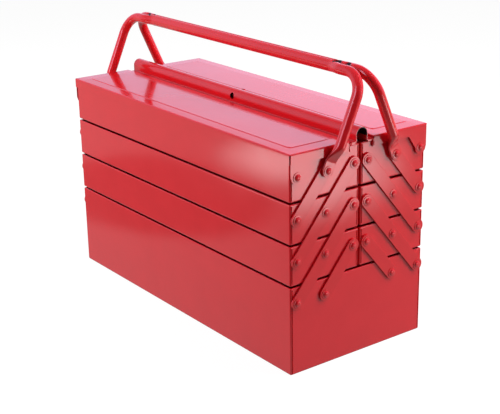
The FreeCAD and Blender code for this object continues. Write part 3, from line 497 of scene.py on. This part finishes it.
def lid_skin(side):
    """The lid's outer skin as an open sheet, folded about its own place."""
    lean = -1 if side == "front" else 1
    low, high = (Vector(corner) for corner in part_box(f"{side}_lid"))
    end, deep = high.x, max(abs(low.y), abs(high.y))
    top = high.z - PANEL_RISE
    pivot = joint_places[f"{side}_lid_hinge"]
    flange_low = top - FLANGE
    panel_x, panel_y = end - PANEL_END, (STEP_PLACE + PANEL_SIDE, deep - PANEL_SIDE)
    middle_y, half_y = sum(panel_y) / 2, (panel_y[1] - panel_y[0]) / 2
    shape = bmesh.new()

    def fall(x, y):
        """How far the border drops towards the folds at the lid's side and ends."""
        over = max((y - panel_y[1]) / PANEL_SIDE, (abs(x) - panel_x) / PANEL_END, 0.0)
        return BORDER_FALL * min(over, 1.0)

    def press(x, y):
        """Height of the pressed top: up on the panel, with a small dimple at each corner."""
        over_x = abs(x) - (panel_x - PANEL_CORNER)
        over_y = abs(y - middle_y) - (half_y - PANEL_CORNER)
        outside = math.hypot(max(over_x, 0), max(over_y, 0)) + min(max(over_x, over_y), 0)
        rise = ease((PANEL_CORNER - outside) / PANEL_SLOPE) * PANEL_RISE
        away = math.hypot(abs(x) - (panel_x - DIMPLE_INSET),
                          abs(y - middle_y) - (half_y - DIMPLE_INSET))
        return rise - ease(1 - away / DIMPLE_RADIUS) * PANEL_RISE - fall(x, y)

    def lines(start, stop, spots, gap):
        """Grid lines from start to stop through the spots, with no gap wider than asked."""
        marks = sorted({round(v, 6) for v in [start, stop] + spots if start <= v <= stop})
        row = [marks[0]]
        for mark in marks[1:]:
            count = max(1, math.ceil((mark - row[-1]) / gap))
            begin = row[-1]
            row += [begin + (mark - begin) * i / count for i in range(1, count + 1)]
        return row

    # Grid lines close together across the panel's slope, and 1 mm apart round its corners
    insets = [i * 0.4 * MM for i in range(-1, 6)] + [i * MM for i in range(2, 13)]
    x_marks = [sign * (panel_x - inset) for sign in (1, -1) for inset in insets]
    y_marks = [middle_y + sign * (half_y - inset) for sign in (1, -1) for inset in insets]
    ear_marks = [abs(pivot.y) + EAR_RADIUS * math.cos(math.radians(angle))
                 for angle in range(0, 181, 15)]
    x_far, y_far = end - LID_FOLD, deep - LID_FOLD
    columns = lines(-x_far, x_far, x_marks, 20 * MM)
    y_lines = lines(STEP_PLACE + STEP_FOLD, y_far, y_marks + ear_marks + [deep - EAR_ROOT],
                    12 * MM)

    def vertex(x, y, z):
        return shape.verts.new((x, lean * y, z))

    grid = [[vertex(x, y, top + press(x, y)) for x in columns] for y in y_lines]
    for row, following in zip(grid, grid[1:]):
        for i in range(len(columns) - 1):
            shape.faces.new((row[i], row[i + 1], following[i + 1], following[i]))

    def flange_foot(y):
        """How low the end flange reaches at each place: straight, then down round the ear."""
        reach = y - abs(pivot.y)
        if y <= deep - EAR_ROOT:
            return flange_low
        if reach < -EAR_RADIUS:
            share = (y - (deep - EAR_ROOT)) / (EAR_ROOT - deep + abs(pivot.y) - EAR_RADIUS)
            return flange_low + share * (pivot.z - flange_low)
        if reach <= EAR_RADIUS:
            return pivot.z - math.sqrt(max(EAR_RADIUS ** 2 - reach ** 2, 0))
        return pivot.z

    # The edge that is folded down: along one end, round a corner, along the side and back. The
    # flanges are apart below the corner's fold, where the flat sheet was notched.
    route = [(x_far, y, 0.0) for y in y_lines]
    route += [(x_far, y_far, angle) for angle in (22.5, 45, 67.5)]
    route += [(x, y_far, 90.0) for x in reversed(columns)]
    route += [(-x_far, y_far, angle) for angle in (112.5, 135, 157.5)]
    route += [(-x_far, y, 180.0) for y in reversed(y_lines)]
    drops = (0.0, 0.25, 0.5, 0.75, 1.0)
    folds = 5
    strips = []
    for x, y, angle in route:
        way = (math.cos(math.radians(angle)), math.sin(math.radians(angle)))
        strip = []
        for i in range(folds + 1):
            fold = math.radians(90 * i / folds)
            out = LID_FOLD * math.sin(fold)
            strip.append((x + way[0] * out, y + way[1] * out,
                          top - fall(x, y) - LID_FOLD * (1 - math.cos(fold))))
        edge_x, edge_y, start = strip[-1]
        if angle % 90 == 0:
            foot = flange_low if angle == 90 else flange_foot(edge_y)
            strip += [(edge_x, edge_y, start + share * (foot - start)) for share in drops[1:]]
        strips.append([vertex(*point) for point in strip])
    for strip, following in zip(strips, strips[1:]):
        for i in range(min(len(strip), len(following)) - 1):
            shape.faces.new((strip[i], following[i], following[i + 1], strip[i + 1]))

    # The step down, the ledge beside the ridge and the lips at its ends
    ledge = top - STEP_DROP
    step_folds = 4
    bends = [math.radians(90 * i / step_folds) for i in range(step_folds + 1)]
    upper = [(STEP_PLACE + STEP_FOLD * (1 - math.sin(angle)), -STEP_FOLD * (1 - math.cos(angle)))
             for angle in bends]
    lower = [(STEP_PLACE - STEP_FOLD * (1 - math.cos(angle)),
              -STEP_DROP + STEP_FOLD * (1 - math.sin(angle))) for angle in bends]
    lower += [(y, -STEP_DROP) for y in LIP_ROWS]
    ledge_edge = abs(low.y) if side == "back" else FRONT_LEDGE_EDGE
    if ledge_edge < LIP_ROWS[-1] - 0.1 * MM:
        lower.append((ledge_edge, -STEP_DROP))
    angles = [math.radians(90 * i / folds) for i in range(folds + 1)]
    arc = [(x_far + LID_FOLD * math.sin(angle), LID_FOLD * (1 - math.cos(angle)))
           for angle in angles]
    wide = [(-x, drop) for x, drop in reversed(arc)] + [(x, 0.0) for x in columns[1:-1]] + arc
    rows = [[vertex(x, y, top + drop - rounding - fall(min(abs(x), x_far), 0.0))
             for x, rounding in wide] for y, drop in upper]
    flat = [x if abs(x) <= x_far else math.copysign(end, x) for x, _ in wide]
    rows += [[vertex(x, y, top + drop) for x in flat] for y, drop in lower]
    for row, following in zip(rows, rows[1:]):
        for i in range(len(wide) - 1):
            shape.faces.new((row[i], following[i], following[i + 1], row[i + 1]))
    for sign in (1, -1):
        lip = [[vertex(sign * end, y, ledge - share * LIP_DROP) for share in (0.0, 0.75, 1.0)]
               for y in LIP_ROWS]
        for row, following in zip(lip, lip[1:]):
            for i in range(len(row) - 1):
                shape.faces.new((row[i], row[i + 1], following[i + 1], following[i]))
    return shape


def pressed_lid(name, side):
    """The lid as sheet of its real thickness."""
    made = solid_object(name, lid_skin(side), merge=LID_SEWN)
    # The open sheet has to face up before it gets its thickness
    skin = bmesh.new()
    skin.from_mesh(made.data)
    skin.normal_update()
    topmost = max(skin.faces, key=lambda face: face.calc_center_median().z)
    if topmost.normal.z < 0:
        bmesh.ops.reverse_faces(skin, faces=skin.faces)
    skin.to_mesh(made.data)
    skin.free()
    finished(made, ("SOLIDIFY", {"thickness": SHEET, "offset": -1.0, "use_even_offset": True,
                                 "use_rim": True}))
    return smooth(made)


for side in ("front", "back"):
    painted(pressed_lid(f"{side}_pressed_lid", side), box_paint, f"{side}_lid", "box_enamel",
            f"{side}_lid")


# The ridge: an arched channel bent from sheet, spot welded by its foot to the front lid's ledge.
# It covers the gap between the lids and takes a padlock through the hole in its middle.
LOCK_HOLE_RADIUS = 3.9 * MM
PART_EDGE = 0.25 * MM


def drilled(made):
    """The padlock's hole along Y through a sheet part, and then its edges softened."""
    length = 60 * MM
    shape = bmesh.new()
    bmesh.ops.create_cone(shape, cap_ends=True, segments=48, radius1=LOCK_HOLE_RADIUS,
                          radius2=LOCK_HOLE_RADIUS, depth=length,
                          matrix=Matrix.Translation(lock_spot)
                          @ Matrix.Rotation(math.radians(90), 4, "X"))
    cutter = solid_object(made.name + "_cutter", shape)
    finished(made, ("BOOLEAN", {"object": cutter, "operation": "DIFFERENCE", "solver": "EXACT"}))
    bpy.data.objects.remove(cutter)
    return smooth(finished(made, ("BEVEL", {"width": PART_EDGE, "segments": 2,
                                            "limit_method": "ANGLE",
                                            "angle_limit": math.radians(50)})))


lock_spot = Vector(frame["record"]["mounts"][1]["pos_m"])
ridge_low, ridge_high = (Vector(corner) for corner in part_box("ridge_channel"))
ridge_round = ridge_high.y
ridge_centre = ridge_high.z - ridge_round


def ridge_section():
    """The channel's section as a closed line of (y, z): foot, outer arch, inner arch."""
    foot_top = ridge_low.z + SHEET
    section = [(ridge_low.y, ridge_low.z), (ridge_low.y, foot_top)]
    bend, bend_steps, arch_steps = 1.0 * MM, 3, 24
    for i in range(bend_steps + 1):
        angle = math.radians(90 * i / bend_steps)
        section.append((-ridge_round - bend + bend * math.sin(angle),
                        foot_top + bend * (1 - math.cos(angle))))
    arch = [math.radians(180 * i / arch_steps) for i in range(arch_steps + 1)]
    section += [(ridge_round * math.cos(angle), ridge_centre + ridge_round * math.sin(angle))
                for angle in reversed(arch)]
    inner = ridge_round - SHEET
    section += [(ridge_round, ridge_low.z), (inner, ridge_low.z)]
    section += [(inner * math.cos(angle), ridge_centre + inner * math.sin(angle))
                for angle in arch]
    return section + [(-inner, ridge_low.z)]


def painted_shade(material, share, colour):
    """Paint shade over the enamel: a dull dark colour in place of the gloss paint where the share
    is 1.
    """
    tree = material.node_tree
    paint = tree.nodes["Principled BSDF"]
    mixed = add(tree, "ShaderNodeMix", {
        "Factor": share, 6: paint.inputs["Base Color"].links[0].from_socket,
        7: linear(colour)}, data_type="RGBA")
    tree.links.new(mixed.outputs[2], paint.inputs["Base Color"])
    coat = add(tree, MATH, [share, -GLOSS_COAT, GLOSS_COAT], operation="MULTIPLY_ADD")
    tree.links.new(coat.outputs[0], paint.inputs["Coat Weight"])
    return material


def ridge_enamel():
    """Red enamel outside, and near black painted shade inside the channel."""
    # A slightly deeper red than the box's, as painted shade on the ridge
    material = stoving_enamel("stoved_gloss_red_enamel_on_ridge", "#CE161F", "#C0131B", 0.16,
                              0.0001)
    tree = material.node_tree
    place = add(tree, "ShaderNodeTexCoord").outputs["Object"]
    from_axis = add(tree, VECTOR, [place, (0.0, 0.0, ridge_centre)], operation="SUBTRACT")
    in_section = add(tree, VECTOR, [from_axis, (0.0, 1.0, 1.0)], operation="MULTIPLY")
    away = add(tree, VECTOR, [in_section], operation="LENGTH").outputs[1]
    # Near black painted shade in the channel's hollow, in place of the red
    inside = add(tree, MATH, [away, ridge_round - SHEET / 2], operation="LESS_THAN")
    return painted_shade(material, inside, "#2A0E0D")


shape = bmesh.new()
stations = [ridge_low.x, -150 * MM, -75 * MM, -12 * MM, 12 * MM, 75 * MM, 150 * MM, ridge_high.x]
loft(shape, [[(x, y, z) for y, z in ridge_section()] for x in stations])
painted(drilled(solid_object("ridge_arch", shape)), ridge_enamel(), "front_lid", "box_enamel",
        "ridge_channel")


# The padlock lug: a small angle of sheet on the back lid's ledge, behind the ridge, with a hole in
# line with the ridge's, so that one shackle ties both lids together.
LUG_CORNER = 6.3 * MM
LUG_FOLD = 1.0 * MM
# How near the middle of the inner fold comes to the corner that it rounds
FOLD_MIDDLE = 0.3 * MM
lug_low, lug_high = (Vector(corner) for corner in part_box("padlock_lug"))
foot_top = lug_low.z + SHEET
back_face = lug_low.y + SHEET
section = [(lug_low.y, lug_low.z), (lug_high.y, lug_low.z), (lug_high.y, foot_top),
           (back_face + LUG_FOLD, foot_top), (back_face + FOLD_MIDDLE, foot_top + FOLD_MIDDLE),
           (back_face, foot_top + LUG_FOLD)]
corner_steps = 6
angles = [math.radians(90 * i / corner_steps) for i in range(corner_steps + 1)]
stations = [lug_low.x + LUG_CORNER * (1 - math.cos(angle)) for angle in angles]
stations += [-x for x in reversed(stations)]
drops = [LUG_CORNER * (1 - math.sin(angle)) for angle in angles]
drops += drops[::-1]
shape = bmesh.new()
loft(shape, [[(x, y, z) for y, z in section + [(back_face, lug_high.z - drop),
                                               (lug_low.y, lug_high.z - drop)]]
             for x, drop in zip(stations, drops)])
painted(drilled(solid_object("lug_angle", shape)), box_paint, "back_lid", "box_enamel",
        "padlock_lug")


# The handles: 12 mm steel tube, its ends flattened and punched for a rivet, bent over to a bar
# that is pressed half round along the grip, so that both grips close into one round hand hold.
TUBE_RADIUS = 6.0 * MM
BEND_RADIUS = 26.0 * MM
GRIP_RADIUS = 7.35 * MM
GRIP_ROUNDING = 1.6 * MM
TONGUE_HALF_WIDTH = 7.8 * MM
TONGUE_HALF_SHEET = 1.35 * MM
TONGUE_GAP = 0.3 * MM
TONGUE_END = 9.0 * MM
SQUEEZE_END = 29.0 * MM
NECK = 2.6 * MM
GRIP_START = 201.0 * MM
GRIP_BLEND = 22.0 * MM
GRIP_MIDDLE = 3.2 * MM
PINCH_PLACES = (188.0 * MM, 203.0 * MM)
PINCH_REACH = 5.0 * MM
PINCH_WIDTH = 5.0 * MM
PINCH_SHARE = 0.65
# The painted shade in a pinch is centred this far under the grip's top
PINCH_SHADE_DEPTH = 1.3 * MM
AROUND = 40


def tube_ring(centre, across, out, half_width, half_sheet):
    """A stadium section: two half rounds, which meet in a circle where the tube is round."""
    ring = []
    for side, start in ((1, -90), (-1, 90)):
        for i in range(AROUND // 2):
            angle = math.radians(start + 180 * (i + 0.5) / (AROUND // 2))
            wide = side * (half_width - half_sheet) + half_sheet * math.cos(angle)
            ring.append(centre + across * wide + out * (half_sheet * math.sin(angle)))
    return ring


def grip_reach(direction, centre, face, lean):
    """How far the pressed half round reaches from a point inside it, along a direction in YZ."""
    core = GRIP_RADIUS - GRIP_ROUNDING
    edge = face + GRIP_ROUNDING
    half = math.sqrt(core ** 2 - (edge - face) ** 2)

    def outside(y, z):
        if y < edge:
            return math.hypot(edge - y, max(abs(z) - half, 0.0))
        if math.hypot(y - face, z) <= core:
            return 0.0
        way = core / math.hypot(y - face, z)
        if face + (y - face) * way >= edge:
            return math.hypot(y - face, z) - core
        return math.hypot(y - edge, abs(z) - half)

    near, far = 0.0, 3 * GRIP_RADIUS
    for _ in range(30):
        reach = (near + far) / 2
        y, z = centre + lean * direction.y * reach, direction.z * reach
        near, far = (reach, far) if outside(y, z) < GRIP_ROUNDING else (near, reach)
    return near


def bent_handle(name, side):
    """One handle as a single tube from rivet to rivet."""
    lean = -1 if side == "front" else 1
    pivot = joint_places[f"{side}_handle_swing"]
    leg_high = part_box(f"{side}_handle_leg_right")[1]
    grip_low, grip_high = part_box(f"{side}_handle_grip")
    face = min(abs(grip_low[1]), abs(grip_high[1]))
    bar = Vector((0.0, lean * (face + TUBE_RADIUS), (grip_low[2] + grip_high[2]) / 2))
    rise = Vector((0.0, bar.y - pivot.y, bar.z - pivot.z))
    leg_length, up = rise.length, rise.normalized()
    out = Vector((1.0, 0.0, 0.0))
    across = up.cross(out).normalized()
    lid_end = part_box(f"{side}_lid")[1][0]
    leg_x, tongue_x = leg_high[0] - TUBE_RADIUS, lid_end + TONGUE_GAP + TONGUE_HALF_SHEET
    origin = Vector((0.0, pivot.y, pivot.z))
    rings = []
    tip = 8
    for i in range(1, tip + 1):
        angle = math.radians(90 * i / tip)
        along = -TONGUE_HALF_WIDTH * math.cos(angle)
        wide = max(TONGUE_HALF_WIDTH * math.sin(angle), TONGUE_HALF_SHEET + 0.1 * MM)
        rings.append(tube_ring(origin + out * tongue_x + up * along, across, out, wide,
                               TONGUE_HALF_SHEET))
    squeezes = 12
    for i in range(squeezes + 1):
        share = ease(i / squeezes)
        along = TONGUE_END + (SQUEEZE_END - TONGUE_END) * i / squeezes
        rings.append(tube_ring(
            origin + out * (tongue_x + (leg_x - tongue_x) * share) + up * along, across, out,
            TONGUE_HALF_WIDTH + (TUBE_RADIUS - TONGUE_HALF_WIDTH) * share,
            TONGUE_HALF_SHEET + (TUBE_RADIUS - TONGUE_HALF_SHEET) * share))
    bends = 12
    bend_centre = origin + out * (leg_x - BEND_RADIUS) + up * (leg_length - BEND_RADIUS)
    for i in range(bends + 1):
        angle = math.radians(90 * i / bends)
        way = out * math.cos(angle) + up * math.sin(angle)
        rings.append(tube_ring(bend_centre + way * BEND_RADIUS, across, way, TUBE_RADIUS,
                               TUBE_RADIUS))
    bend_x = leg_x - BEND_RADIUS
    grip_centre = Vector((0.0, lean * (face + GRIP_MIDDLE), bar.z))
    stops = [bend_x - NECK - i * MM for i in range(36)] + [150 * MM, 100 * MM, 50 * MM]
    for x in stops:
        ring = []
        share = ease((GRIP_START - x) / GRIP_BLEND)
        deep = ease(1.6 * (1 - min(abs(x - place) for place in PINCH_PLACES) / PINCH_REACH))
        for point in tube_ring(Vector(), across, up, TUBE_RADIUS, TUBE_RADIUS):
            way = point.normalized()
            pressed = grip_centre + way * grip_reach(way, abs(grip_centre.y), face, lean)
            spot = (bar + point).lerp(pressed, share)
            # The press pinches the tube twice at each end of the grip, along its inner side
            near = ease((PINCH_WIDTH + face - abs(spot.y)) / PINCH_WIDTH * 1.5)
            spot.z = bar.z + (spot.z - bar.z) * (1 - PINCH_SHARE * near * deep)
            ring.append(spot + out * x)
        rings.append(ring)
    rings += [[Vector((-point.x, point.y, point.z)) for point in ring]
              for ring in reversed(rings)]
    shape = bmesh.new()
    loft(shape, rings)
    return smooth(solid_object(name, shape), 45.0)


def handle_enamel():
    """Red enamel, with near black painted shade in the pinches of the grip."""
    # A slightly lighter red than the box's, as painted light on the handles
    material = stoving_enamel("stoved_gloss_red_enamel_on_tube", "#DA1921", "#CC141B", 0.16,
                              0.00008)
    tree = material.node_tree
    place = add(tree, "ShaderNodeTexCoord").outputs["Object"]
    mirrored = add(tree, VECTOR, [place], operation="ABSOLUTE")
    spread = (1.0, 0.75, 0.8)
    level = add(tree, VECTOR, [mirrored, spread], operation="MULTIPLY")
    shade_top = spread[2] * (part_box("front_handle_grip")[1][2] - PINCH_SHADE_DEPTH)
    pinched = 0.0
    for x in PINCH_PLACES:
        away = add(tree, VECTOR, [level, (x, 0.0, shade_top)], operation="DISTANCE").outputs[1]
        share = add(tree, "ShaderNodeMapRange", {
            "Value": away, "From Min": 0.8 * PINCH_REACH, "From Max": PINCH_REACH,
            "To Min": 1.0, "To Max": 0.0})
        pinched = add(tree, MATH, [share, pinched], operation="MAXIMUM")
    # Near black painted shade where the tubes pinch together, in place of the red
    return painted_shade(material, pinched, "#1A0706")


handle_paint = handle_enamel()
for side in ("front", "back"):
    painted(bent_handle(f"{side}_bent_handle", side), handle_paint, f"{side}_handle",
            "handle_enamel", *(f"{side}_handle_{part}"
                               for part in ("grip", "leg_right", "leg_left")))


# The studio: a pale seamless floor in a white room, with four soft lamps. The camera sees floor
# and room as white. The gloss mirrors a room that is dark where the photographer stands, and paper
# with pools of light and shade beside the box.
ROOM_SIDE = (0.79, -0.61, 0.0)
PAPER_SIDE = (0.55, -0.83, 0.0)
WINDOW_SIDE = (-0.55, 0.83, 0.0)
STRIP_SIDE = (-0.05, -0.86, 0.51)
UP = (0.0, 0.0, 1.0)


def graded(tree, place, side, start, stop, first, last):
    """A value that goes from first to last as a place goes from start to stop towards a side."""
    along = add(tree, VECTOR, [place, side], operation="DOT_PRODUCT").outputs[1]
    return add(tree, "ShaderNodeMapRange", {"Value": along, "From Min": start, "From Max": stop,
                                            "To Min": first, "To Max": last})


def paper(name, colour):
    """Matt paper that the camera sees nearly white, with pools of light for the gloss."""
    material = bpy.data.materials.new(name)
    material.use_nodes = True
    tree = material.node_tree
    tree.nodes.clear()
    path = add(tree, "ShaderNodeLightPath").outputs
    place = add(tree, "ShaderNodeTexCoord").outputs["Object"]
    shine = 0.52
    for centre, turn, reach, core, glow in (
            ((0.86, 0.45, 0.0), 42, (0.39, 0.19, 1.0), 0.45, 3.4),
            ((-0.39, -0.66, 0.0), 0, (0.23, 0.20, 1.0), 0.3, 3.5),
            ((-0.41, -0.33, 0.0), 0, (0.27, 0.18, 1.0), 0.72, -0.28),
            ((0.05, 1.05, 0.0), 0, (0.50, 0.50, 1.0), 0.6, -0.5)):
        within = add(tree, "ShaderNodeMapping", {
            "Vector": place, "Location": centre, "Rotation": (0.0, 0.0, math.radians(turn)),
            "Scale": reach}, vector_type="TEXTURE")
        away = add(tree, VECTOR, [within], operation="LENGTH").outputs[1]
        pool = add(tree, "ShaderNodeMapRange", {
            "Value": away, "From Min": core, "From Max": 1.0, "To Min": glow, "To Max": 0.0},
            interpolation_type="SMOOTHSTEP")
        shine = add(tree, MATH, [pool, shine], operation="ADD")
    dark = graded(tree, place, PAPER_SIDE, 0.22, 0.42, 1.0, 0.1)
    shine = add(tree, MATH, [shine, dark], operation="MULTIPLY")
    matt = add(tree, "ShaderNodeBsdfDiffuse", {"Color": linear(colour)})
    lift = add(tree, "ShaderNodeEmission", {"Color": linear("#FFFFFF"), "Strength": 1.55})
    mirrored = add(tree, "ShaderNodeEmission", {"Color": linear("#FFF4F6"), "Strength": shine})
    lifted = add(tree, MATH, [path["Is Camera Ray"], 0.6], operation="MULTIPLY")
    seen = add(tree, "ShaderNodeMixShader", [lifted, matt, lift])
    mixed = add(tree, "ShaderNodeMixShader", [path["Is Glossy Ray"], seen, mirrored])
    add(tree, "ShaderNodeOutputMaterial", {"Surface": mixed})
    return material


floor_mesh = bpy.data.meshes.new("studio_floor")
reach = 6.0
floor_mesh.from_pydata([(-reach, -reach, 0), (reach, -reach, 0), (reach, reach, 0),
                        (-reach, reach, 0)], [], [(0, 1, 2, 3)])
floor = bpy.data.objects.new("studio_floor", floor_mesh)
bpy.context.scene.collection.objects.link(floor)
floor.data.materials.append(paper("pale_seamless_paper", "#949494"))

world = bpy.data.worlds.new("white_studio")
bpy.context.scene.world = world
world.use_nodes = True
tree = world.node_tree
tree.nodes.clear()
path = add(tree, "ShaderNodeLightPath").outputs
sky = add(tree, "ShaderNodeTexCoord").outputs["Generated"]
dark = graded(tree, sky, ROOM_SIDE, 0.1, 0.8, 1.05, 0.06)
ceiling = graded(tree, sky, UP, 0.42, 0.72, 1.0, 0.35)
bright = graded(tree, sky, WINDOW_SIDE, 0.8, 1.0, 0.7, 1.35)
strip = graded(tree, sky, STRIP_SIDE, 0.955, 0.985, 0.0, 4.0)
shade = add(tree, MATH, [dark, ceiling], operation="MULTIPLY")
walls = add(tree, MATH, [shade, bright, strip], operation="MULTIPLY_ADD")
fill, room, white = (
    add(tree, "ShaderNodeBackground", {"Color": linear(colour), "Strength": strength})
    for colour, strength in (("#FFFFFF", 0.22), ("#F2E0FF", walls), ("#FFFFFF", 1.0)))
mirrored = add(tree, "ShaderNodeMixShader", [path["Is Glossy Ray"], fill, room])
seen = add(tree, "ShaderNodeMixShader", [path["Is Camera Ray"], mirrored, white])
add(tree, "ShaderNodeOutputWorld", {"Surface": seen})

for name, direction, distance, size, glow in (
        ("left_softbox", (-0.74, -0.32, 0.56), 1.6, 1.5, 1.4),
        ("front_lamp", (-0.28, -0.90, 0.35), 1.3, 0.7, 7.6),
        ("right_lamp", (0.62, 0.78, 0.08), 1.6, 0.6, 15.0),
        ("overhead_softbox", (0.38, 0.50, 0.78), 1.6, 0.9, 9.5)):
    data = bpy.data.lights.new(name, "AREA")
    data.shape, data.size = "SQUARE", size
    data.energy = glow * math.pi * size * size
    lamp = bpy.data.objects.new(name, data)
    lamp.location = Vector(direction).normalized() * distance + Vector((0, 0, 120 * MM))
    lamp.rotation_mode = "QUATERNION"
    lamp.rotation_quaternion = (-Vector(direction)).to_track_quat("-Z", "Y")
    lamp.visible_glossy = False
    bpy.context.scene.collection.objects.link(lamp)


# The camera: its place, its turns and its lens are those that the box's own edges in the
# photograph were fitted to, for a frame 500 pixels wide.
AZIMUTH, ELEVATION, ROLL = 52.13, 19.13, -0.52
DISTANCE = 1489.3 * MM
AIM = Vector((31.01, 42.37, 120.17)) * MM
IMAGE_WIDTH, SENSOR = 500, 36.0
FOCAL_PIXELS = 1169.7
camera_data = bpy.data.cameras.new("photo_camera")
camera_data.sensor_width = SENSOR
camera_data.lens = FOCAL_PIXELS / IMAGE_WIDTH * SENSOR
camera_data.shift_x, camera_data.shift_y = -0.0616, -0.0084
camera = bpy.data.objects.new("photo_camera", camera_data)
turn, tilt, roll = (math.radians(angle) for angle in (AZIMUTH, ELEVATION, ROLL))
back = Vector((math.sin(turn) * math.cos(tilt), -math.cos(turn) * math.cos(tilt), math.sin(tilt)))
level = Vector((math.cos(turn), math.sin(turn), 0.0))
steep = back.cross(level)
right = level * math.cos(roll) + steep * math.sin(roll)
camera.matrix_world = (Matrix.Translation(AIM + back * DISTANCE)
                       @ Matrix((right, back.cross(right), back)).transposed().to_4x4())
bpy.context.scene.collection.objects.link(camera)
bpy.context.scene.camera = camera
bpy.context.scene.view_settings.view_transform = "Standard"
